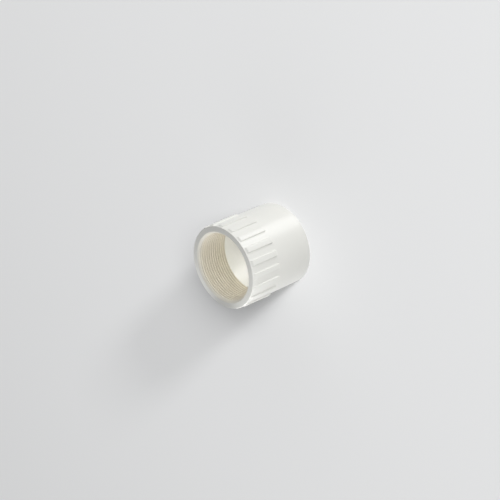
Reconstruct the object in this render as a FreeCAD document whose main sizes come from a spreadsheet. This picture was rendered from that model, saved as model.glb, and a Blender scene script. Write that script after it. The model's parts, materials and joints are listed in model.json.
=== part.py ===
"""Two-inch female threaded adapter for white pressure pipe.

One moulded piece stands on its socket end. The origin is the centre of that end and +Z runs
up the bore, out of the threaded mouth. Sizes are in millimetres.
"""
import FreeCAD, Part
import math
import os
import Sketcher

NODE = "adapter_body"

# Each row is a name, a value and what it measures. The thread and the socket both follow the
# pipe, the outside follows the thread's roots, and the ribs follow the outside.
SIZES = (
    ("pipe_diameter", 60.3, "outside of the pipe that the socket takes"),
    ("socket_clearance", 0.1, "socket wider than the pipe, on the diameter, halfway along its depth"),
    ("socket_depth", 35.7, "socket rim to the shoulder that stops the pipe"),
    ("socket_lead_in", 0.8, "chamfer round the socket's mouth"),
    ("thread_below_pipe", 0.68, "roots of the inside thread narrower than the pipe, on the diameter"),
    ("thread_height", 1.48, "crest to root of the inside thread, and the chamfer at its mouth"),
    ("thread_depth", 28.7, "threaded rim to the shoulder"),
    ("wall_over_thread", 4.49, "barrel's wall outside the thread's roots"),
    ("threaded_rim_round", 0.5, "outer edge of the threaded rim"),
    ("socket_rim_round", 0.9, "outer edge of the socket rim"),
    ("rib_count", 20, "grip ribs round the threaded end"),
    ("collar_width", 1.9, "plain band between the threaded rim and the ribs"),
    ("rib_end_setback", 0.2, "ribs' far ends to the shoulder's level, towards the threaded rim"),
    ("rib_front_height", 0.9, "rib above the barrel, beside the collar"),
    ("rib_rear_height", 1.3, "rib above the barrel, at its far end"),
    ("rib_root_width", 5.4, "rib across its sunken foot"),
    ("rib_crest_width", 4.3, "rib across its crest, before its edges are rounded"),
    ("rib_foot_depth", 0.5, "rib's foot below the barrel's surface"),
    ("rib_edge_round", 0.35, "rounding of a rib's crest, along its sides and at its ends"),
)
SHEET = "sizes"
MATCH_TOLERANCE = 0.001

# Places that several features share, in terms of the sizes above.
SOCKET_RADIUS = "(sizes.pipe_diameter + sizes.socket_clearance) / 2"
THREAD_ROOT_RADIUS = "(sizes.pipe_diameter - sizes.thread_below_pipe) / 2"
THREAD_CREST_RADIUS = f"({THREAD_ROOT_RADIUS} - sizes.thread_height)"
BARREL_RADIUS = f"({THREAD_ROOT_RADIUS} + sizes.wall_over_thread)"
SHOULDER_LEVEL = "sizes.socket_depth"
THREADED_RIM_LEVEL = "(sizes.socket_depth + sizes.thread_depth)"
RIB_FRONT_LEVEL = f"{THREADED_RIM_LEVEL} - sizes.collar_width"
RIB_REAR_LEVEL = f"{SHOULDER_LEVEL} + sizes.rib_end_setback"


def make_sheet(document):
    """Put the driving sizes into a spreadsheet, each under its own name."""
    sheet = document.addObject("Spreadsheet::Sheet", SHEET)
    for row, (alias, value, meaning) in enumerate(SIZES, start=1):
        sheet.set(f"A{row}", meaning)
        sheet.set(f"B{row}", str(value))
        sheet.setAlias(f"B{row}", alias)
    document.recompute()
    return sheet


def origin_feature(body, role):
    """Return the body's own plane or axis that has this role."""
    for feature in body.Origin.OriginFeatures:
        if feature.Role == role:
            return feature
    raise RuntimeError(f"{body.Label} has no {role}")


def new_sketch(body, name, role, level=None):
    """Make a sketch on one of the body's planes, lifted along its normal to a level."""
    sketch = body.newObject("Sketcher::SketchObject", name)
    sketch.AttachmentSupport = (origin_feature(body, role), [""])
    sketch.MapMode = "FlatFace"
    if level is not None:
        sketch.setExpression("AttachmentOffset.Base.z", level)
    return sketch


def draw_outline(sketch, corners):
    """Draw straight sides through corners, each given by two expressions of the sizes.

    The sides start round a rough circle, and the constraints then pull every corner to its
    place. A zero keeps the corner on the sketch's own axis.
    """
    count = len(corners)
    rough = []
    for index in range(count):
        turn = 2.0 * math.pi * index / count
        rough.append(FreeCAD.Vector(30.0 + 10.0 * math.cos(turn), 30.0 + 10.0 * math.sin(turn), 0.0))
    for index in range(count):
        sketch.addGeometry(Part.LineSegment(rough[index], rough[(index + 1) % count]), False)
    for index in range(count):
        sketch.addConstraint(Sketcher.Constraint("Coincident", index, 2, (index + 1) % count, 1))
    for index, (across, along) in enumerate(corners):
        for direction, axis, place, expression in (
            ("DistanceX", -2, rough[index].x, across),
            ("DistanceY", -1, rough[index].y, along),
        ):
            if expression == "0":
                sketch.addConstraint(Sketcher.Constraint("PointOnObject", index, 1, axis))
                continue
            number = sketch.addConstraint(Sketcher.Constraint(direction, -1, 1, index, 1, place))
            sketch.setExpression(f"Constraints[{number}]", expression)


def make_wall(document, body):
    """Turn the barrel with its threaded bore, its shoulder and its socket."""
    profile = new_sketch(body, "wall_profile", "XZ_Plane")
    draw_outline(profile, (
        (SOCKET_RADIUS, "0"),
        (BARREL_RADIUS, "0"),
        (BARREL_RADIUS, THREADED_RIM_LEVEL),
        (THREAD_CREST_RADIUS, THREADED_RIM_LEVEL),
        (THREAD_CREST_RADIUS, SHOULDER_LEVEL),
        (SOCKET_RADIUS, SHOULDER_LEVEL),
    ))
    wall = body.newObject("PartDesign::Revolution", "wall")
    wall.Profile = profile
    wall.ReferenceAxis = (profile, ["V_Axis"])
    wall.Angle = 360.0
    body.Tip = wall
    document.recompute()
    return profile


def circle_edges(shape, radius, level):
    """Name the circular edges of a shape that have this radius and lie at this level."""
    names = []
    for number, edge in enumerate(shape.Edges, start=1):
        curve = edge.Curve
        if not isinstance(curve, Part.Circle):
            continue
        off = max(abs(curve.Radius - radius), abs(curve.Center.z - level))
        if off < MATCH_TOLERANCE:
            names.append(f"Edge{number}")
    return names


def dress_edges(document, body, kind, name, names, size):
    """Round or bevel the named edges of the body as it stands, by an expression of the sizes."""
    if not names:
        raise RuntimeError(f"{name} finds no edge")
    base = body.Tip
    feature = body.newObject(kind, name)
    feature.Base = (base, names)
    feature.setExpression("Radius" if kind == "PartDesign::Fillet" else "Size", size)
    body.Tip = feature
    document.recompute()


def dress_rims(document, body, profile):
    """Round both outer edges and bevel both mouths, each found at a corner of the profile."""
    socket_mouth, socket_rim, threaded_rim, thread_mouth = [
        profile.getPoint(index, 1) for index in range(4)
    ]
    for name, kind, corner, size in (
        ("threaded_rim_edge", "PartDesign::Fillet", threaded_rim, "sizes.threaded_rim_round"),
        ("socket_rim_edge", "PartDesign::Fillet", socket_rim, "sizes.socket_rim_round"),
        ("thread_mouth", "PartDesign::Chamfer", thread_mouth, "sizes.thread_height"),
        ("socket_mouth", "PartDesign::Chamfer", socket_mouth, "sizes.socket_lead_in"),
    ):
        names = circle_edges(body.Tip.Shape, corner.x, corner.y)
        dress_edges(document, body, kind, name, names, size)


def rib_section(body, name, rise, level):
    """Draw one cross-section of a rib, with a sunken foot and drafted sides."""
    sketch = new_sketch(body, name, "XY_Plane", level)
    foot = f"{BARREL_RADIUS} - sizes.rib_foot_depth"
    crest = f"{BARREL_RADIUS} + {rise}"
    draw_outline(sketch, (
        (foot, "-sizes.rib_root_width / 2"),
        (crest, "-sizes.rib_crest_width / 2"),
        (crest, "sizes.rib_crest_width / 2"),
        (foot, "sizes.rib_root_width / 2"),
    ))
    return sketch


def crest_edges(shape, least_radius):
    """Name the straight edges whose two ends both stand further out than a radius."""
    names = []
    for number, edge in enumerate(shape.Edges, start=1):
        if not isinstance(edge.Curve, Part.Line):
            continue
        ends = [math.hypot(vertex.X, vertex.Y) for vertex in edge.Vertexes]
        if min(ends) > least_radius:
            names.append(f"Edge{number}")
    return names


def make_ribs(document, body, sheet):
    """Loft one rib, taller away from the rim for the mould's draft, ring it round and round it off."""
    front = rib_section(body, "rib_front", "sizes.rib_front_height", RIB_FRONT_LEVEL)
    rear = rib_section(body, "rib_rear", "sizes.rib_rear_height", RIB_REAR_LEVEL)
    document.recompute()
    rib = body.newObject("PartDesign::AdditiveLoft", "rib")
    rib.Profile = front
    rib.Sections = [rear]
    rib.Ruled = True
    body.Tip = rib
    document.recompute()
    ring = body.newObject("PartDesign::PolarPattern", "rib_ring")
    ring.Originals = [rib]
    ring.Axis = (origin_feature(body, "Z_Axis"), [""])
    ring.Angle = 360.0
    ring.setExpression("Occurrences", "sizes.rib_count")
    body.Tip = ring
    document.recompute()
    barrel_radius = front.getPoint(0, 1).x + sheet.rib_foot_depth
    halfway = barrel_radius + sheet.rib_front_height / 2.0
    names = crest_edges(ring.Shape, halfway)
    dress_edges(document, body, "PartDesign::Fillet", "rib_crests", names, "sizes.rib_edge_round")


def check_document(document, body):
    """Stop on any failed object, unsolved sketch or shape that isn't one valid solid."""
    for item in document.Objects:
        for word in ("Invalid", "Error"):
            if word in item.State:
                raise RuntimeError(f"{item.Label} is in state {item.State}")
        if item.TypeId == "Sketcher::SketchObject" and item.solve() != 0:
            raise RuntimeError(f"{item.Label} can't be solved")
    shape = body.Shape
    if shape.isNull() or not shape.isValid() or len(shape.Solids) != 1:
        raise RuntimeError(f"{body.Label} isn't one valid solid")


def main():
    """Build the adapter and write its one solid."""
    os.makedirs("parts", exist_ok=True)
    document = FreeCAD.newDocument("female_threaded_adapter")
    sheet = make_sheet(document)
    body = document.addObject("PartDesign::Body", NODE)
    body.Label = NODE
    profile = make_wall(document, body)
    dress_rims(document, body, profile)
    make_ribs(document, body, sheet)
    document.recompute()
    check_document(document, body)
    body.Shape.exportStep(f"parts/{NODE}.step")
    print(f"{NODE}: volume {body.Shape.Volume:.1f} mm3, {len(body.Shape.Faces)} faces")


main()
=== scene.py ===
"""Visual model of a two-inch female threaded adapter for white plastic pressure pipe.

The adapter stands on its socket end. The origin is the centre of that end, and +Z runs up the
bore and out of the threaded mouth. Every length is in metres.
"""
import json
import logging
import math
from dataclasses import dataclass, field
from enum import Enum
from typing import Any

import bpy
import numpy as np
from mathutils import Matrix, Vector


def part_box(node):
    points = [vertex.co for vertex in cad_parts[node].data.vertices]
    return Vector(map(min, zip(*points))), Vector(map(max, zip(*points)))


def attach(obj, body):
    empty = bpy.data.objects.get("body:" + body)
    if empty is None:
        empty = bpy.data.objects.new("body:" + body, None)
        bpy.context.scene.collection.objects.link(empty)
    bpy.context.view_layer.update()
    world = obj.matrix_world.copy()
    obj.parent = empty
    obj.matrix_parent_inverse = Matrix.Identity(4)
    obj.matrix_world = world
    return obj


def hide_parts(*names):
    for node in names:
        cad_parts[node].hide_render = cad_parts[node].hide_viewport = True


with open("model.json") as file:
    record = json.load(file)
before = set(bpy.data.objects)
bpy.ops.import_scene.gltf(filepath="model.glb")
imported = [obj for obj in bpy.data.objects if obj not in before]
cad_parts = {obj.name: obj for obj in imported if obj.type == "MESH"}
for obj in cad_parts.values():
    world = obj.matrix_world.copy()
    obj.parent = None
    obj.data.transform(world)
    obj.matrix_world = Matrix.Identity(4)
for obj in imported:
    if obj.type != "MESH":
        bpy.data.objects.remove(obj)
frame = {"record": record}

LOG = logging.getLogger("adapter")
BODY = "root"
NODE = "adapter_body"
MM = 0.001
INCH = 0.0254
FULL_TURN = 2.0 * math.pi

Colour = tuple[float, float, float, float]
WHITE: Colour = (1.0, 1.0, 1.0, 1.0)


@dataclass(frozen=True)
class DraftedEdge:
    """The side of a raised pad, from its crest down to the surface that it stands on.

    Attributes:
        draft: lean of the side from upright, in radians.
        crest_round: radius at the top of the side.
        foot_round: radius of the fillet at its foot.
        crest_steps: straight steps in the arc at the top.
        foot_steps: straight steps in the arc at the foot.
    """

    draft: float
    crest_round: float
    foot_round: float
    crest_steps: int = 3
    foot_steps: int = 2

    def trace(self, reach: float, rises: np.ndarray) -> tuple[np.ndarray, np.ndarray]:
        """Trace the side for pads of several heights on the same sloping plane.

        A point on the plane has out * cos(draft) + up * sin(draft) = reach * cos(draft). The crest's
        arc has its centre one radius inside that plane and one below the crest. The foot's arc has
        its centre one radius outside the plane and one above the surface. On a pad lower than both
        radii together, both shrink with its height, down to nothing.

        Args:
            reach: distance from the pad's middle to the plane, at the surface.
            rises: height of the pad in each row.

        Returns:
            Distances out from the middle and heights, one row for each pad, crest first.
        """
        cosine, sine = math.cos(self.draft), math.sin(self.draft)
        rise = rises[:, None]
        share = np.clip(rise / (self.crest_round + self.foot_round), 0.0, 1.0)
        crest, foot = self.crest_round * share, self.foot_round * share
        plane = reach * cosine
        crest_turn = np.linspace(math.pi / 2.0, self.draft, self.crest_steps + 1)
        crest_out = (plane - crest - (rise - crest) * sine) / cosine + crest * np.cos(crest_turn)
        crest_up = rise - crest + crest * np.sin(crest_turn)
        foot_turn = np.linspace(self.draft, math.pi / 2.0, self.foot_steps + 1)
        foot_out = (plane + foot - foot * sine) / cosine - foot * np.cos(foot_turn)
        foot_up = foot - foot * np.sin(foot_turn)
        return np.hstack([crest_out, foot_out]), np.hstack([crest_up, foot_up])


@dataclass(frozen=True)
class GripRibs:
    """Ring of raised pads round the threaded end, taller away from the rim for the mould's draft.

    Attributes:
        barrel_radius: radius of the surface that the ribs stand on.
        front: level of the ribs' ends beside the collar.
        rear: level of their other ends.
        count: number of ribs.
        front_height: height beside the collar.
        rear_height: height at the other end.
        half_width: from a rib's middle to its side, at the surface.
        side: form of the long sides.
        front_end: form of the sloping ends beside the collar.
        rear_end: form of the other ends.
        crest_steps: steps across half a crest.
        gap_steps: steps across half the gap between two ribs.
        run_steps: steps along the crest.
        run_hold: share of the crest's length from each of its ends to one more row.
    """

    barrel_radius: float
    front: float
    rear: float
    count: int = 20
    front_height: float = 0.9 * MM
    rear_height: float = 1.3 * MM
    half_width: float = 2.52 * MM
    side: DraftedEdge = DraftedEdge(math.radians(19.0), 0.35 * MM, 0.25 * MM)
    front_end: DraftedEdge = DraftedEdge(math.radians(58.0), 0.5 * MM, 0.4 * MM)
    rear_end: DraftedEdge = DraftedEdge(math.radians(4.0), 0.3 * MM, 0.15 * MM)
    crest_steps: int = 2
    gap_steps: int = 2
    run_steps: int = 6
    run_hold: float = 0.01

    def section(self, rises: np.ndarray) -> tuple[np.ndarray, np.ndarray]:
        """Trace one rib and the gaps beside it, from the middle of one gap to that of the next.

        Half the section runs across the crest, down the side and across the gap. The other half
        is its mirror image, and the point that the next rib begins with is left out.

        Args:
            rises: height of the rib in each row.

        Returns:
            Arc lengths from the rib's middle and heights above the barrel, one row for each height.
        """
        side_out, side_up = self.side.trace(self.half_width, rises)
        half_pitch = math.pi * self.barrel_radius / self.count
        inward = np.linspace(0.0, 1.0, self.crest_steps, endpoint=False)
        crest_out = side_out[:, :1] * inward
        crest_up = np.repeat(rises[:, None], self.crest_steps, axis=1)
        across = np.linspace(0.0, 1.0, self.gap_steps + 1)[1:]
        gap_out = side_out[:, -1:] + (half_pitch - side_out[:, -1:]) * across
        gap_up = np.zeros_like(gap_out)
        out = np.hstack([crest_out, side_out, gap_out])
        up = np.hstack([crest_up, side_up, gap_up])
        return np.hstack([-out[:, :0:-1], out[:, :-1]]), np.hstack([up[:, :0:-1], up[:, :-1]])

    def lengthwise(self) -> tuple[np.ndarray, np.ndarray]:
        """Trace a rib's length from its foot beside the collar to its foot at the other end.

        The sloping end beside the collar is halfway up at the ribs' front level, so its foot
        reaches past that level by half its height * tan(draft).

        Returns:
            Levels along the bore's axis and heights of the rib there.
        """
        middle = (self.front + self.rear) / 2.0
        half_length = (self.front - self.rear) / 2.0
        past = self.front_height / 2.0 * math.tan(self.front_end.draft)
        front_out, front_up = self.front_end.trace(half_length + past, np.array([self.front_height]))
        rear_out, rear_up = self.rear_end.trace(half_length, np.array([self.rear_height]))
        share = np.linspace(0.0, 1.0, self.run_steps + 1)
        share = np.concatenate([[0.0, self.run_hold], share[1:-1], [1.0 - self.run_hold, 1.0]])
        run_level = middle + front_out[0, 0] + share * (-rear_out[0, 0] - front_out[0, 0])
        run_up = self.front_height + share * (self.rear_height - self.front_height)
        levels = [middle + front_out[0, :0:-1], run_level, middle - rear_out[0, 1:]]
        rises = [front_up[0, :0:-1], run_up, rear_up[0, 1:]]
        return np.concatenate(levels), np.concatenate(rises)

    def angles(self, arcs: np.ndarray) -> np.ndarray:
        """Turn one rib's arc lengths into angles for the whole ring, rib after rib.

        An angle is arc length / barrel radius, turned by one part in count for each next rib.

        Args:
            arcs: arc lengths from the rib's middle, in rows.

        Returns:
            Angles round the axis, in as many rows.
        """
        starts = np.arange(self.count) * FULL_TURN / self.count
        turned = starts[None, :, None] + (arcs / self.barrel_radius)[:, None, :]
        return turned.reshape(len(arcs), -1)


@dataclass(frozen=True)
class PipeThread:
    """Right-handed inside pipe thread with straight flanks and rounded crests and roots.

    Attributes:
        crest_radius: radius of the bore over the crests.
        root_radius: radius at the bottom of the grooves.
        pitch: distance between crests along the axis.
        flank: angle between a flank and the line square to the axis, in radians.
        arc_steps: steps in half of each rounded crest or root.
        flank_steps: steps down each flank.
    """

    crest_radius: float
    root_radius: float
    pitch: float = INCH / 11.0
    flank: float = math.radians(27.5)
    arc_steps: int = 3
    flank_steps: int = 2

    @property
    def rounding(self) -> float:
        """Give the radius that cuts the sharp triangle down to the thread's height at both ends alike.

        An arc of radius r in a corner between two flanks takes r * (1 / sin(flank) - 1) off it.

        Returns:
            The radius of crests and roots.
        """
        sharp_height = self.pitch / (2.0 * math.tan(self.flank))
        spare = sharp_height - (self.root_radius - self.crest_radius)
        return spare / (2.0 * (1.0 / math.sin(self.flank) - 1.0))

    def radius_at(self, along: np.ndarray) -> np.ndarray:
        """Give the bore's radius at distances along the axis from a crest.

        Within one pitch, with x the distance from the nearest crest, the wall follows a circle
        about the crest, then a straight flank, then a circle about the root.

        Args:
            along: distances along the axis.

        Returns:
            The radius at each of them.
        """
        turns = along / self.pitch
        x = np.abs(turns - np.round(turns)) * self.pitch
        arc = self.rounding
        edge = arc * math.cos(self.flank)
        from_root = self.pitch / 2.0 - x
        crest = self.crest_radius + arc - np.sqrt(np.clip(arc**2 - x**2, 0.0, None))
        root = self.root_radius - arc + np.sqrt(np.clip(arc**2 - from_root**2, 0.0, None))
        arc_top = self.crest_radius + arc * (1.0 - math.sin(self.flank))
        flank = arc_top + (x - edge) / math.tan(self.flank)
        return np.select([x <= edge, from_root <= edge], [crest, root], flank)

    def row_offsets(self) -> np.ndarray:
        """Give the distances from a crest, within one pitch, at which the mesh has its rows.

        They lie at equal turns round each arc and at equal steps down each flank. The pitch's
        second half mirrors its first.

        Returns:
            The distances, in order, the first of them zero.
        """
        turn = np.linspace(0.0, math.pi / 2.0 - self.flank, self.arc_steps + 1)
        crest = self.rounding * np.sin(turn)
        root = self.pitch / 2.0 - crest[::-1]
        flank = np.linspace(crest[-1], root[0], self.flank_steps + 1)[1:-1]
        half = np.concatenate([crest, flank, root])
        return np.concatenate([half, self.pitch - half[-2:0:-1]])


def rounded_corner(
    corners: np.ndarray, index: int, radius: float, steps: int, hold: float
) -> np.ndarray:
    """Round one corner of an outline with an arc that is tangent to both of its sides.

    The tangent points lie radius / tan(half the corner's angle) from the corner, and the centre
    lies radius / sin(half that angle) along its bisector. One more point on each side, a little
    way past the arc, keeps the flat beside it evenly shaded.

    Args:
        corners: corners of the outline, each a radius and a level.
        index: the corner to round.
        radius: radius of the arc.
        steps: straight steps in the arc.
        hold: distance from the arc to the extra points.

    Returns:
        The points that take the corner's place.
    """
    corner = corners[index]
    back, ahead = corners[index - 1] - corner, corners[index + 1] - corner
    back, ahead = back / np.linalg.norm(back), ahead / np.linalg.norm(ahead)
    half_angle = math.acos(float(np.clip(back @ ahead, -1.0, 1.0))) / 2.0
    tangent = radius / math.tan(half_angle)
    bisector = (back + ahead) / np.linalg.norm(back + ahead)
    centre = corner + bisector * radius / math.sin(half_angle)
    first = corner + back * tangent - centre
    last = corner + ahead * tangent - centre
    sweep = math.pi - 2.0 * half_angle
    share = np.linspace(0.0, 1.0, steps + 1)[:, None]
    turned = np.sin((1.0 - share) * sweep) * first + np.sin(share * sweep) * last
    arc = centre + turned / math.sin(sweep)
    return np.vstack([corner + back * (tangent + hold), arc, corner + ahead * (tangent + hold)])


def grid_faces(rows: int, columns: int, closed: bool) -> np.ndarray:
    """Number the four corners of every cell of a grid of points.

    Args:
        rows: rows of points.
        columns: points in each row.
        closed: whether the last column joins the first.

    Returns:
        Four point numbers for each cell, in order round it.
    """
    row, column = np.meshgrid(np.arange(rows - 1), np.arange(columns - (not closed)), indexing="ij")
    after = (column + 1) % columns
    corners = [row * columns + column, (row + 1) * columns + column,
               (row + 1) * columns + after, row * columns + after]
    return np.stack(corners, axis=-1).reshape(-1, 4)


@dataclass
class Skin:
    """Patches of surface that are welded into one closed mesh.

    Attributes:
        weld_step: points that agree to this step become one.
        points: positions of the patches so far.
        quads: their cells, numbered over all the positions.
    """

    weld_step: float = 1e-7
    points: list[np.ndarray] = field(default_factory=list)
    quads: list[np.ndarray] = field(default_factory=list)

    def add(self, radii: np.ndarray, angles: np.ndarray, levels: np.ndarray, closed: bool) -> None:
        """Add a patch given in rows and columns of radius, angle round the axis and level.

        Args:
            radii: distance of each point from the axis.
            angles: angle of each point round the axis.
            levels: height of each point along the axis.
            closed: whether the last column joins the first.
        """
        radii, angles, levels = np.broadcast_arrays(radii, angles, levels)
        start = sum(len(points) for points in self.points)
        place = np.stack([radii * np.cos(angles), radii * np.sin(angles), levels], axis=-1)
        self.points.append(place.reshape(-1, 3))
        self.quads.append(start + grid_faces(*radii.shape, closed))

    def weld(self) -> tuple[np.ndarray, list[list[int]]]:
        """Merge points that coincide, and keep each cell that still has three sides or four.

        A cell that lost one side becomes a triangle, and one that lost more is dropped.

        Returns:
            The merged positions, and the corners of each face.
        """
        points, quads = np.vstack(self.points), np.vstack(self.quads)
        keys = np.round(points / self.weld_step).astype(np.int64)
        _, first, merged = np.unique(keys, axis=0, return_index=True, return_inverse=True)
        cells = merged.reshape(-1)[quads]
        lost = cells == np.roll(cells, -1, axis=1)
        whole = cells[~lost.any(axis=1)]
        single = lost.sum(axis=1) == 1
        turn = (lost[single].argmax(axis=1)[:, None] + np.arange(1, 4)) % 4
        triangles = np.take_along_axis(cells[single], turn, axis=1)
        return points[first], whole.tolist() + triangles.tolist()

    def to_object(self, name: str) -> bpy.types.Object:
        """Make the welded patches into a smooth-shaded object.

        Args:
            name: name of the object and of its mesh.

        Returns:
            The new object, at the origin and in the scene.
        """
        points, faces = self.weld()
        mesh = bpy.data.meshes.new(name)
        mesh.from_pydata(points.tolist(), [], faces)
        mesh.polygons.foreach_set("use_smooth", np.ones(len(faces), dtype=bool))
        mesh.update()
        thing = bpy.data.objects.new(name, mesh)
        bpy.context.scene.collection.objects.link(thing)
        return thing


@dataclass
class AdapterBody:
    """The whole adapter: barrel, grip ribs, threaded bore, shoulder and cement socket.

    Attributes:
        length: socket end to threaded rim.
        shoulder: level of the shoulder where the socket ends and the thread begins.
        crest_radius: bore over the thread's crests.
        socket_radius: mean radius of the socket.
        lead_in: chamfer round the socket's mouth.
        thread_height: depth of the grooves, and of the chamfer at the threaded mouth.
        wall_over_thread: wall outside the grooves.
        socket_taper: how much wider the socket's mouth is than its far end, on the radius.
        collar_width: plain band between the threaded rim and the ribs.
        rib_setback: from the ribs' far ends to the shoulder's level.
        rim_round: radius round the threaded rim.
        socket_rim_round: radius round the socket's rim.
        small_round: radius of the edges inside the socket.
        hold: distance of the extra rows beside a round.
        softening: width over which the chamfer blends into the thread.
        run_out: depth below the chamfer over which the grooves reach their full depth.
        thread_lag: how far below the shoulder's level the thread has a crest, at angle zero.
        rim_steps: steps in the arc round the threaded rim.
        socket_rim_steps: steps in the arc round the socket's rim.
        small_steps: steps in the arcs inside the socket.
        barrel_steps: steps along the plain part of the barrel.
        socket_steps: steps along the socket's wall.
        same_angle: decimals at which two angles of the section count as one.
    """

    length: float
    shoulder: float
    crest_radius: float
    socket_radius: float
    lead_in: float
    thread_height: float
    wall_over_thread: float = 4.49 * MM
    socket_taper: float = 0.2 * MM
    collar_width: float = 1.9 * MM
    rib_setback: float = 0.2 * MM
    rim_round: float = 0.5 * MM
    socket_rim_round: float = 0.9 * MM
    small_round: float = 0.2 * MM
    hold: float = 0.12 * MM
    softening: float = 0.06 * MM
    run_out: float = 0.8 * MM
    thread_lag: float = 0.45 * MM
    rim_steps: int = 5
    socket_rim_steps: int = 6
    small_steps: int = 2
    barrel_steps: int = 5
    socket_steps: int = 4
    same_angle: int = 9

    @classmethod
    def from_frame(cls, record: dict[str, Any]) -> "AdapterBody":
        """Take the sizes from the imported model's box and its two bores.

        Args:
            record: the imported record.

        Returns:
            The adapter with those sizes.
        """
        mounts = {mount["name"]: mount for mount in record["mounts"]}
        low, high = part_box(NODE)
        thread, socket = mounts["threaded_mouth"], mounts["cement_socket"]
        thread_half = thread["dims"]["length_mm"] * MM / 2.0
        socket_half = socket["dims"]["length_mm"] * MM / 2.0
        return cls(
            length=high.z - low.z,
            shoulder=socket["pos_m"][2] + socket_half,
            crest_radius=thread["dims"]["r_mm"] * MM,
            socket_radius=socket["dims"]["r_mm"] * MM,
            lead_in=socket["pos_m"][2] - socket_half,
            thread_height=high.z - thread["pos_m"][2] - thread_half,
        )

    @property
    def root_radius(self) -> float:
        """Radius at the bottom of the thread's grooves."""
        return self.crest_radius + self.thread_height

    @property
    def barrel_radius(self) -> float:
        """Outside radius of the barrel."""
        return self.root_radius + self.wall_over_thread

    @property
    def thread(self) -> PipeThread:
        """The inside thread."""
        return PipeThread(self.crest_radius, self.root_radius)

    @property
    def thread_start(self) -> float:
        """Level of one of the thread's crests, at angle zero."""
        return self.shoulder - self.thread_lag

    @property
    def ribs(self) -> GripRibs:
        """The grip ribs."""
        return GripRibs(
            barrel_radius=self.barrel_radius,
            front=self.length - self.collar_width,
            rear=self.shoulder + self.rib_setback,
        )

    def bore_radius(self, levels: np.ndarray, angles: np.ndarray) -> np.ndarray:
        """Give the threaded bore's radius anywhere between the shoulder and the mouth.

        A crest climbs one pitch in a turn, so the thread is read at level - pitch * turns. Its
        grooves run out below the mouth's chamfer, their depth times 3 s^2 - 2 s^3 with s from 0 to
        1 over the run-out. The chamfer is a cone of 45 degrees that ends at the root radius. The
        bore is the wider of the two, half of (a + b + sqrt((a - b)^2 + softening^2)).

        Args:
            levels: levels along the axis.
            angles: angles round the axis.

        Returns:
            The radius at each of them.
        """
        thread = self.thread
        cut = thread.radius_at(levels - self.thread_start - thread.pitch * angles / FULL_TURN)
        share = np.clip((self.length - self.thread_height - levels) / self.run_out, 0.0, 1.0)
        cut = self.crest_radius + (cut - self.crest_radius) * share**2 * (3.0 - 2.0 * share)
        cone = self.root_radius - (self.length - levels)
        return (cut + cone + np.sqrt((cut - cone) ** 2 + self.softening**2)) / 2.0

    def outline(self) -> tuple[np.ndarray, np.ndarray, np.ndarray]:
        """Trace the section from the face's inner edge round the outside to the shoulder.

        The section is a line through seven corners, with the ribs' rows on the barrel's side. The
        socket tapers evenly about its mean radius, half the taper either way.

        Returns:
            Radii, levels and rib heights of the rows, in order.
        """
        taper = self.socket_taper / 2.0
        corners = np.array([
            (self.root_radius, self.length),
            (self.barrel_radius, self.length),
            (self.barrel_radius, 0.0),
            (self.socket_radius + taper + self.lead_in, 0.0),
            (self.socket_radius + taper, self.lead_in),
            (self.socket_radius - taper, self.shoulder),
            (self.root_radius, self.shoulder),
        ])
        small, steps, hold = self.small_round, self.small_steps, self.hold
        threaded_rim = rounded_corner(corners, 1, self.rim_round, self.rim_steps, hold)
        socket_rim = rounded_corner(corners, 2, self.socket_rim_round, self.socket_rim_steps, hold)
        lead_in_edge = rounded_corner(corners, 3, small, steps, hold)
        socket_edge = rounded_corner(corners, 4, small, steps, hold)
        shoulder_root = rounded_corner(corners, 5, small / 2.0, steps, hold / 2.0)
        rib_levels, rises = self.ribs.lengthwise()
        ribbed = np.stack([np.full_like(rib_levels, self.barrel_radius), rib_levels], axis=-1)
        barrel = np.linspace(ribbed[-1], socket_rim[0], self.barrel_steps + 1)[1:-1]
        socket = np.linspace(socket_edge[-1], shoulder_root[0], self.socket_steps + 1)[1:-1]
        rows = np.vstack([
            corners[0] + (hold, 0.0),
            threaded_rim,
            ribbed,
            ribbed[-1] - (0.0, hold),
            barrel,
            socket_rim,
            lead_in_edge,
            socket_edge,
            socket,
            shoulder_root[:-1],
        ])
        heights = np.zeros(len(rows))
        before = 1 + len(threaded_rim)
        heights[before:before + len(rises)] = rises
        return rows[:, 0], rows[:, 1], heights

    def build(self) -> bpy.types.Object:
        """Build the adapter's one closed surface.

        The outside patch has a row for each point of the section and follows the ribs round. The
        bore's patch has rows that climb with the thread, cut off at the shoulder and at the rim.

        Returns:
            The adapter's object.
        """
        ribs, thread = self.ribs, self.thread
        radii, levels, heights = self.outline()
        arcs, rises = ribs.section(heights)
        outside_angles = ribs.angles(arcs)
        outside_radii = radii[:, None] + np.tile(rises, ribs.count)
        flat_angles = outside_angles[0]
        ends = [self.length, self.shoulder]
        end_radii = [self.bore_radius(np.array(level), flat_angles) for level in ends]
        skin = Skin()
        skin.add(
            np.vstack([end_radii[0], outside_radii, end_radii[1]]),
            np.vstack([flat_angles, outside_angles, flat_angles]),
            np.concatenate([ends[:1], levels, ends[1:]])[:, None],
            closed=True,
        )
        _, first = np.unique(np.round(flat_angles, self.same_angle), return_index=True)
        ring = flat_angles[first]
        around = np.append(ring, ring[0] + FULL_TURN)
        # One turn more below the shoulder and one above the rim fill the bore's wall all round.
        turns = math.ceil((self.length - self.shoulder) / thread.pitch) + 2
        starts = (np.arange(turns) - 1) * thread.pitch
        offsets = (starts[:, None] + thread.row_offsets()).reshape(-1, 1)
        climb = thread.pitch * (around - around[0]) / FULL_TURN
        base = self.thread_start + thread.pitch * around[0] / FULL_TURN
        bore_levels = np.clip(base + offsets + climb, self.shoulder, self.length)
        wrapped = np.append(ring, ring[0])
        skin.add(self.bore_radius(bore_levels, around), wrapped, bore_levels, closed=False)
        return skin.to_object("adapter")


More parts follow.
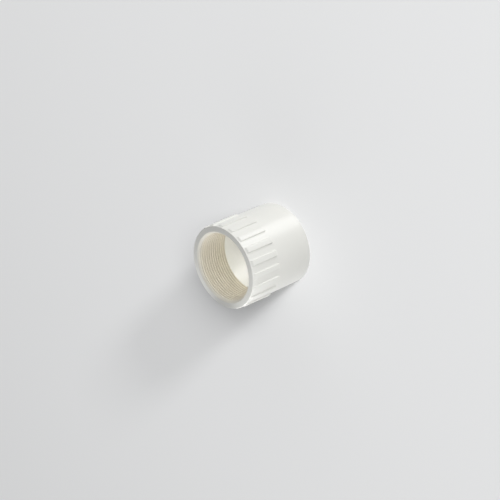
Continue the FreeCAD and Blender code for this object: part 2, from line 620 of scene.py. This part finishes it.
@dataclass(frozen=True)
class Speckle:
    """Soft noise that varies a finish from place to place.

    Attributes:
        scale: how many of its patches lie along a metre.
        detail: how many finer layers lie over the first.
        low: grey value up to which the start of a range holds.
        high: grey value from which its end holds.
    """

    scale: float
    detail: float = 2.0
    low: float = 0.0
    high: float = 1.0


class NodeSheet:
    """Node tree that is filled one node at a time."""

    def __init__(self, tree: bpy.types.NodeTree) -> None:
        """Empty the tree."""
        self.tree = tree
        tree.nodes.clear()

    def add(self, kind: str, settings: dict[str, Any] | None = None, **inputs: Any) -> bpy.types.Node:
        """Add a node and fill its inputs.

        Args:
            kind: Blender's name for the kind of node.
            settings: properties of the node.
            inputs: a value or another node's output for each input, which is named with _ for a
                space, or by _ and its number.

        Returns:
            The new node.
        """
        node = self.tree.nodes.new(kind)
        for name, value in (settings or {}).items():
            setattr(node, name, value)
        for name, value in inputs.items():
            key = int(name[1:]) if name[1:].isdigit() else name.replace("_", " ")
            self.fill(node.inputs[key], value)
        return node

    def fill(self, socket: bpy.types.NodeSocket, value: Any) -> None:
        """Link an output to a socket, or set the socket's own value.

        Args:
            socket: the input to fill.
            value: another node's output, or the value itself.
        """
        if isinstance(value, bpy.types.NodeSocket):
            self.tree.links.new(value, socket)
        else:
            socket.default_value = value

    def math(self, operation: str, first: Any, second: Any = 0.0) -> bpy.types.NodeSocket:
        """Add a Math node and return its result."""
        return self.add("ShaderNodeMath", {"operation": operation}, _0=first, _1=second).outputs[0]

    def ramp(
        self, value: Any, low: float, high: float, start: float = 0.0, end: float = 1.0
    ) -> bpy.types.NodeSocket:
        """Carry a value smoothly from one range to another.

        With s from 0 to 1 between low and high, the result is start + (end - start) (3 s^2 - 2 s^3).

        Args:
            value: the value, or another node's output.
            low: value at which the ramp begins.
            high: value at which it ends.
            start: result at its beginning.
            end: result at its end.

        Returns:
            The result.
        """
        node = self.add("ShaderNodeMapRange", {"interpolation_type": "SMOOTHSTEP"},
                        Value=value, From_Min=low, From_Max=high, To_Min=start, To_Max=end)
        return node.outputs["Result"]

    def noise(self, place: Any, speckle: Speckle) -> bpy.types.NodeSocket:
        """Add a noise that reads a place, and return its grey value."""
        node = self.add("ShaderNodeTexNoise", Vector=place, Scale=speckle.scale, Detail=speckle.detail)
        return node.outputs["Fac"]

    def speckled(self, place: Any, speckle: Speckle, start: float, end: float) -> bpy.types.NodeSocket:
        """Add a noise whose grey values run over a range of results."""
        return self.ramp(self.noise(place, speckle), speckle.low, speckle.high, start, end)


@dataclass(frozen=True)
class Zones:
    """What the finish reads at each point of the adapter, as outputs of nodes.

    Attributes:
        place: the point's position.
        radius: its distance from the axis.
        level: its height along the axis.
        inside: 1 in the bore and the socket, and 0 on the outside.
        above: 1 above the shoulder, and 0 below it.
        threaded: 1 in the threaded bore, and 0 elsewhere.
    """

    place: bpy.types.NodeSocket
    radius: bpy.types.NodeSocket
    level: bpy.types.NodeSocket
    inside: bpy.types.NodeSocket
    above: bpy.types.NodeSocket
    threaded: bpy.types.NodeSocket


@dataclass(frozen=True)
class MouldedPvc:
    """Rigid white plastic, polished by the mould outside and duller and creamier in the thread, with
    painted shade in its grooves and some painted bounce light in its cream.

    Attributes:
        body: colour of the outside.
        bore: colour of the threaded bore, a cream that is partly the plastic's tint and partly painted
            warm bounce light.
        index: refractive index.
        sheen: roughness of the polished outside.
        dull: roughness of the thread and of both rims' flat faces.
        sheen_change: how far the outside's roughness strays either way.
        tone_change: share by which the colour darkens in places.
        ripple: depth of the mould's faint ripple.
        ripple_strength: strength of its effect.
        grain: depth of the finest unevenness.
        grain_strength: strength of its effect.
        painted_groove_shade: share of painted shade by which the thread's grooves are darker than its
            crests.
        crest_top: share of the thread's height up to which a crest has no painted shade.
        crest_edge: share of that height from which a groove has its full painted shade.
        socket_cream: share of the bore's colour that shows in the socket, as painted warm bounce light.
        mouth_cream: share of it that shows at the threaded mouth.
        cream_depth: depth below the mouth from which all of it shows.
        inner_fade: distances past the thread's roots between which the inside's finish ends.
        shoulder_fade: distance past the shoulder over which the thread's finish ends.
        rim_fade: distances from a flat rim between which its dull finish ends.
        clouds: noise that darkens the colour.
        patches: noise that changes the roughness.
        waves: noise of the ripple.
        grains: noise of the finest unevenness.
    """

    body: Colour = (0.9, 0.9, 0.855, 1.0)
    bore: Colour = (0.926, 0.88, 0.769, 1.0)
    index: float = 1.53
    sheen: float = 0.29
    dull: float = 0.42
    sheen_change: float = 0.01
    tone_change: float = 0.004
    ripple: float = 0.001 * MM
    ripple_strength: float = 0.5
    grain: float = 0.0003 * MM
    grain_strength: float = 0.6
    painted_groove_shade: float = 0.06
    crest_top: float = 0.04
    crest_edge: float = 0.3
    socket_cream: float = 0.4
    mouth_cream: float = 0.4
    cream_depth: float = 6.0 * MM
    inner_fade: tuple[float, float] = (0.1 * MM, 0.3 * MM)
    shoulder_fade: float = 0.5 * MM
    rim_fade: tuple[float, float] = (0.01 * MM, 0.04 * MM)
    clouds: Speckle = Speckle(90.0, 3.0, 0.35, 0.65)
    patches: Speckle = Speckle(240.0, 4.0, 0.3, 0.7)
    waves: Speckle = Speckle(160.0)
    grains: Speckle = Speckle(2600.0, 3.0)

    def build(self, part: AdapterBody) -> bpy.types.Material:
        """Build the material for an adapter.

        Args:
            part: the adapter, whose thread and rims the finish follows.

        Returns:
            The material.
        """
        material = bpy.data.materials.new("moulded_pvc")
        material.use_nodes = True
        sheet = NodeSheet(material.node_tree)
        zones = self.zones(sheet, part)
        shader = sheet.add(
            "ShaderNodeBsdfPrincipled",
            Base_Color=self.colour(sheet, part, zones),
            Roughness=self.roughness(sheet, part, zones),
            IOR=self.index,
            Normal=self.relief(sheet, zones.place),
        )
        sheet.add("ShaderNodeOutputMaterial", Surface=shader.outputs["BSDF"])
        return material

    def zones(self, sheet: NodeSheet, part: AdapterBody) -> Zones:
        """Tell the regions of the surface apart.

        Args:
            sheet: the material's nodes.
            part: the adapter.

        Returns:
            What the finish reads at each point.
        """
        place = sheet.add("ShaderNodeTexCoord").outputs["Object"]
        axes = sheet.add("ShaderNodeSeparateXYZ", Vector=place).outputs
        squares = [sheet.math("POWER", axes[name], 2.0) for name in ("X", "Y")]
        radius = sheet.math("SQRT", sheet.math("ADD", *squares))
        near, far = self.inner_fade
        inside = sheet.ramp(radius, part.root_radius + far, part.root_radius + near)
        above = sheet.ramp(axes["Z"], part.shoulder - self.shoulder_fade, part.shoulder)
        threaded = sheet.math("MULTIPLY", inside, above)
        return Zones(place, radius, axes["Z"], inside, above, threaded)

    def colour(self, sheet: NodeSheet, part: AdapterBody, zones: Zones) -> bpy.types.NodeSocket:
        """Mix the two colours, darken them in faint clouds, and paint shade into the thread's grooves.

        Args:
            sheet: the material's nodes.
            part: the adapter.
            zones: what the finish reads at each point.

        Returns:
            The colour.
        """
        # The bore's cream is partly the plastic's own tint and partly painted warm light bounced round
        # inside; less of it shows in the socket and at the mouth.
        cream = sheet.math("MULTIPLY", zones.above, 1.0 - self.socket_cream)
        cream = sheet.math("MULTIPLY", zones.inside, sheet.math("ADD", cream, self.socket_cream))
        deep = sheet.ramp(zones.level, part.length, part.length - self.cream_depth, self.mouth_cream, 1.0)
        cream = sheet.math("MULTIPLY", cream, deep)
        # The Mix node has its two colours at inputs 6 and 7 and its result at output 2.
        tint = sheet.add("ShaderNodeMix", {"data_type": "RGBA"}, Factor=cream, _6=self.body, _7=self.bore)

        # Painted shade: the thread's grooves are darkened in colour below their crests, for the shade
        # that falls in them.
        height, chamfer_foot = part.thread_height, part.length - part.thread_height
        groove = sheet.ramp(zones.radius, part.crest_radius + self.crest_top * height,
                            part.crest_radius + self.crest_edge * height)
        shade = sheet.ramp(zones.level, chamfer_foot, chamfer_foot - part.run_out, 0.0, self.painted_groove_shade)
        shade = sheet.math("MULTIPLY", sheet.math("MULTIPLY", groove, shade), zones.threaded)
        clouded = sheet.speckled(zones.place, self.clouds, 1.0 - self.tone_change, 1.0)
        tone = sheet.math("SUBTRACT", clouded, shade)
        scaled = sheet.add("ShaderNodeVectorMath", {"operation": "SCALE"}, _0=tint.outputs[2], Scale=tone)
        return scaled.outputs[0]

    def roughness(self, sheet: NodeSheet, part: AdapterBody, zones: Zones) -> bpy.types.NodeSocket:
        """Make the outside glossy in faint patches, and the thread and both flat rims dull.

        Args:
            sheet: the material's nodes.
            part: the adapter.
            zones: what the finish reads at each point.

        Returns:
            The roughness.
        """
        near, far = self.rim_fade
        rim = sheet.ramp(zones.level, part.length - far, part.length - near)
        foot = sheet.ramp(zones.level, far, near)
        matt = sheet.math("MAXIMUM", zones.threaded, sheet.math("MAXIMUM", rim, foot))
        low, high = self.sheen - self.sheen_change, self.sheen + self.sheen_change
        gloss = sheet.speckled(zones.place, self.patches, low, high)
        return sheet.math("ADD", gloss, sheet.math("MULTIPLY", matt, self.dull - self.sheen))

    def relief(self, sheet: NodeSheet, place: bpy.types.NodeSocket) -> bpy.types.NodeSocket:
        """Lay the finest unevenness over the mould's ripple.

        Args:
            sheet: the material's nodes.
            place: the point's position.

        Returns:
            The normal.
        """
        wave = sheet.add("ShaderNodeBump", Strength=self.ripple_strength, Distance=self.ripple,
                         Height=sheet.noise(place, self.waves))
        fine = sheet.add("ShaderNodeBump", Strength=self.grain_strength, Distance=self.grain,
                         Height=sheet.noise(place, self.grains), Normal=wave.outputs["Normal"])
        return fine.outputs["Normal"]


@dataclass(frozen=True)
class PhotoView:
    """Camera where the photograph was taken from, turned so that the adapter lies on its side.

    Attributes:
        azimuth: degrees round the adapter, 0 looking along +Y.
        elevation: degrees above the horizon.
        roll: degrees that the camera is turned about its own line of sight.
        aim: point that the middle of the picture shows.
        distance: from that point to the camera.
        lens: focal length for a sensor 36 mm wide, in millimetres.
        clip: nearest and farthest distance that it sees.
    """

    azimuth: float = -8.01
    elevation: float = 38.51
    roll: float = -113.32
    aim: tuple[float, float, float] = (4.16 * MM, -0.93 * MM, 32.2 * MM)
    distance: float = 1096.4 * MM
    lens: float = 98.16
    clip: tuple[float, float] = (0.01, 20.0)

    def build(self) -> bpy.types.Object:
        """Add the camera and make it the scene's own.

        Returns:
            The camera's object.
        """
        turn, climb = math.radians(self.azimuth), math.radians(self.elevation)
        level = math.cos(climb)
        back = Vector((math.sin(turn) * level, -math.cos(turn) * level, math.sin(climb)))
        data = bpy.data.cameras.new("photo_view")
        data.lens = self.lens
        data.clip_start, data.clip_end = self.clip
        camera = bpy.data.objects.new("photo_view", data)
        upright = (-back).to_track_quat("-Z", "Y").to_matrix().to_4x4()
        rolled = upright @ Matrix.Rotation(math.radians(self.roll), 4, "Z")
        camera.matrix_world = Matrix.Translation(Vector(self.aim) + back * self.distance) @ rolled
        bpy.context.scene.collection.objects.link(camera)
        bpy.context.scene.camera = camera
        return camera


class Reach(Enum):
    """What a lamp lights."""

    ADAPTER = "adapter"
    FLOOR = "floor"


@dataclass(frozen=True)
class SoftLamp:
    """Square or oblong lamp with a soft edge to its shadows.

    Attributes:
        name: name of the lamp.
        place: where it stands.
        facing: direction that it shines in.
        across: direction of its width.
        width: size across.
        height: size the other way.
        watts: power.
        reach: what it lights.
        spread: width of its beam, in radians.
    """

    name: str
    place: Vector
    facing: Vector
    across: Vector
    width: float
    height: float
    watts: float
    reach: Reach = Reach.ADAPTER
    spread: float = math.pi

    def build(self, receivers: dict[Reach, bpy.types.Collection]) -> bpy.types.Object:
        """Add the lamp.

        Args:
            receivers: the collection of things that each reach lights.

        Returns:
            The lamp's object.
        """
        data = bpy.data.lights.new(self.name, "AREA")
        data.shape = "RECTANGLE"
        data.size, data.size_y = self.width, self.height
        data.energy = self.watts
        data.spread = self.spread
        data.cycles.use_multiple_importance_sampling = False
        lamp = bpy.data.objects.new(self.name, data)
        back = -self.facing.normalized()
        across = (self.across - back * self.across.dot(back)).normalized()
        turned = Matrix((across, back.cross(across), back)).transposed().to_4x4()
        lamp.matrix_world = Matrix.Translation(self.place) @ turned
        lamp.visible_camera = False
        lamp.light_linking.receiver_collection = receivers[self.reach]
        bpy.context.scene.collection.objects.link(lamp)
        return lamp


@dataclass(frozen=True)
class Glow:
    """Light from one side of the room.

    Attributes:
        towards: direction of that side.
        strength: strength straight towards it.
        power: power of the cosine by which the light fades round it.
    """

    towards: Vector
    strength: float
    power: float = 4.0


@dataclass(frozen=True)
class Studio:
    """Plain pale floor, soft lamps and a pale room round the adapter.

    The photograph's own upward direction lies level here, because the adapter stands on end.

    Attributes:
        photo_up: the photograph's upward direction.
        photo_side: the level direction square to it, on the camera's side.
        window: direction of the room's brightest place, and of the key lamp.
        over: direction of the floor's smaller lamp.
        wide: direction of the floor's wider lamp.
        card: place of the card beside the ribbed end.
        card_lean: how far the card is turned down, as a share of its facing.
        key_distance: from the adapter's middle to the key lamp.
        floor_distance: from the adapter's middle to the floor's lamps.
        ahead_gap: from the rim to the level of the two lamps ahead of the mouth.
        ahead_drop: how far they stand below the axis, as the photograph has it.
        ahead_shift: how far each stands from the middle.
        socket_gap: from the floor to the lamp in the socket's mouth.
        socket_beam: width of that lamp's beam, in radians.
        floor_size: side of the square floor.
        floor_colour: colour of the floor.
        room_colour: colour of the room, as the camera and reflections see it.
    """

    photo_up: Vector = Vector((0.7349, -0.6782, 0.0))
    photo_side: Vector = Vector((-0.6782, -0.7349, 0.0))
    window: Vector = photo_up * 0.757 + photo_side * 0.199 - Vector((0.0, 0.0, 0.623))
    over: Vector = photo_up * 0.8 + photo_side * 0.76 + Vector((0.0, 0.0, 0.25))
    wide: Vector = photo_up * 0.54 + photo_side * 0.61 + Vector((0.0, 0.0, 0.59))
    card: Vector = photo_side * 0.17 + Vector((0.0, 0.0, 0.1))
    card_lean: float = 0.35
    key_distance: float = 0.7
    floor_distance: float = 8.0
    ahead_gap: float = 0.041
    ahead_drop: float = 0.0375
    ahead_shift: float = 0.05
    socket_gap: float = 0.002
    socket_beam: float = math.radians(100.0)
    floor_size: float = 8.0
    floor_colour: Colour = (0.58, 0.584, 0.588, 1.0)
    room_colour: Colour = (0.72, 0.725, 0.73, 1.0)

    def lamps(self, part: AdapterBody) -> list[SoftLamp]:
        """List the lamps.

        The photographed adapter lies on a pale surface in a pale room. The key lamp shines from the
        window's side. Two lamps ahead of its mouth stand in for the light that the surface throws
        back on the rim, and a card for pale things near the ribbed end. One lamp in the socket's
        mouth shines up the bore, for the light that comes in there. Two more light the floor alone.

        Args:
            part: the adapter that they light.

        Returns:
            The lamps.
        """
        up, side, bore = self.photo_up, self.photo_side, Vector((0.0, 0.0, 1.0))
        middle = bore * part.length / 2.0
        key, over, wide = (way.normalized() for way in (self.window, self.over, self.wide))
        key_place = middle + key * self.key_distance
        over_place, wide_place = (middle + way * self.floor_distance for way in (over, wide))
        ahead = bore * (part.length + self.ahead_gap) - up * self.ahead_drop
        shift = side * self.ahead_shift
        return [
            SoftLamp("key", key_place, -key, up, width=0.3, height=0.34, watts=0.99),
            SoftLamp("card", self.card, -side - bore * self.card_lean, up,
                     width=0.12, height=0.1, watts=0.055),
            SoftLamp("ahead_near", ahead + shift, up, side, width=0.066, height=0.078, watts=0.0176),
            SoftLamp("ahead_far", ahead - shift, up, side, width=0.066, height=0.078, watts=0.014),
            SoftLamp("socket_light", bore * self.socket_gap, bore, up,
                     width=0.036, height=0.036, watts=0.0088, spread=self.socket_beam),
            SoftLamp("floor_lamp", over_place, -over, up,
                     width=0.9, height=0.9, watts=478.0, reach=Reach.FLOOR),
            SoftLamp("floor_wide", wide_place, -wide, up,
                     width=3.2, height=3.2, watts=895.0, reach=Reach.FLOOR),
        ]

    def glows(self) -> list[Glow]:
        """List the sides that the room lights the adapter from.

        Returns:
            The sides, with the window first.
        """
        up, side, bore = self.photo_up, self.photo_side, Vector((0.0, 0.0, 1.0))
        return [
            Glow(self.window.normalized(), strength=1.7, power=24.0),
            Glow(up, strength=1.71),
            Glow(-up, strength=2.24),
            Glow(side, strength=0.66),
            Glow(-side, strength=0.4),
            Glow(-bore, strength=0.4),
        ]

    def build(self, part: AdapterBody, piece: bpy.types.Object) -> None:
        """Add the floor, the lamps and the room.

        Args:
            part: the adapter's sizes.
            piece: the adapter's object.
        """
        floor = self.build_floor()
        receivers: dict[Reach, bpy.types.Collection] = {}
        for reach, thing in ((Reach.ADAPTER, piece), (Reach.FLOOR, floor)):
            receivers[reach] = bpy.data.collections.new(f"lit_{reach.value}")
            receivers[reach].objects.link(thing)
        for lamp in self.lamps(part):
            lamp.build(receivers)
        self.build_room()

    def build_floor(self) -> bpy.types.Object:
        """Add the floor, which is clear to rays that come from below.

        Returns:
            The floor's object.
        """
        half = self.floor_size / 2.0
        corners = [(-half, -half, 0.0), (half, -half, 0.0), (half, half, 0.0), (-half, half, 0.0)]
        mesh = bpy.data.meshes.new("floor")
        mesh.from_pydata(corners, [], [(0, 1, 2, 3)])
        floor = bpy.data.objects.new("floor", mesh)
        bpy.context.scene.collection.objects.link(floor)
        floor.visible_diffuse = False
        floor.visible_shadow = False
        material = bpy.data.materials.new("pale_floor")
        material.use_nodes = True
        sheet = NodeSheet(material.node_tree)
        paint = sheet.add("ShaderNodeBsdfDiffuse", Color=self.floor_colour)
        clear = sheet.add("ShaderNodeBsdfTransparent")
        under = sheet.add("ShaderNodeNewGeometry").outputs["Backfacing"]
        side = sheet.add("ShaderNodeMixShader", _0=under, _1=paint.outputs[0], _2=clear.outputs[0])
        sheet.add("ShaderNodeOutputMaterial", Surface=side.outputs[0])
        mesh.materials.append(material)
        return floor

    def build_room(self) -> None:
        """Light the scene from all round, and show rays that see the room a plain pale colour.

        The light from each side is its strength times a power of the cosine of the angle to it, and
        nothing past a right angle. The room's light is the sum of these.
        """
        world = bpy.data.worlds.new("room")
        bpy.context.scene.world = world
        world.use_nodes = True
        sheet = NodeSheet(world.node_tree)
        way = sheet.add("ShaderNodeTexCoord").outputs["Generated"]
        strength = 0.0
        for glow in self.glows():
            turned = sheet.add("ShaderNodeVectorMath", {"operation": "DOT_PRODUCT"},
                               _0=way, _1=tuple(glow.towards))
            facing = sheet.math("MAXIMUM", turned.outputs["Value"], 0.0)
            lobe = sheet.math("MULTIPLY", sheet.math("POWER", facing, glow.power), glow.strength)
            strength = sheet.math("ADD", lobe, strength)
        light = sheet.add("ShaderNodeBackground", Color=WHITE, Strength=strength)
        seen = sheet.add("ShaderNodeBackground", Color=self.room_colour, Strength=1.0)
        ray = sheet.add("ShaderNodeLightPath").outputs
        mirrored = sheet.math("MAXIMUM", ray["Is Glossy Ray"], ray["Is Transmission Ray"])
        direct = sheet.math("MAXIMUM", ray["Is Camera Ray"], mirrored)
        mix = sheet.add("ShaderNodeMixShader", _0=direct, _1=light.outputs[0], _2=seen.outputs[0])
        sheet.add("ShaderNodeOutputWorld", Surface=mix.outputs[0])


def main() -> None:
    """Build the adapter with its finish, report it, and build the studio round it."""
    logging.basicConfig(level=logging.INFO, format="%(name)s: %(message)s")
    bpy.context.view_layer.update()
    part = AdapterBody.from_frame(frame["record"])
    piece = part.build()
    piece.data.materials.append(MouldedPvc().build(part))
    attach(piece, BODY)
    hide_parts(NODE)
    mesh = piece.data
    LOG.info("%s has %d points and %d faces", piece.name, len(mesh.vertices), len(mesh.polygons))
    PhotoView().build()
    Studio().build(part, piece)
    bpy.context.scene.view_settings.view_transform = "Standard"


if __name__ == "__main__":
    main()
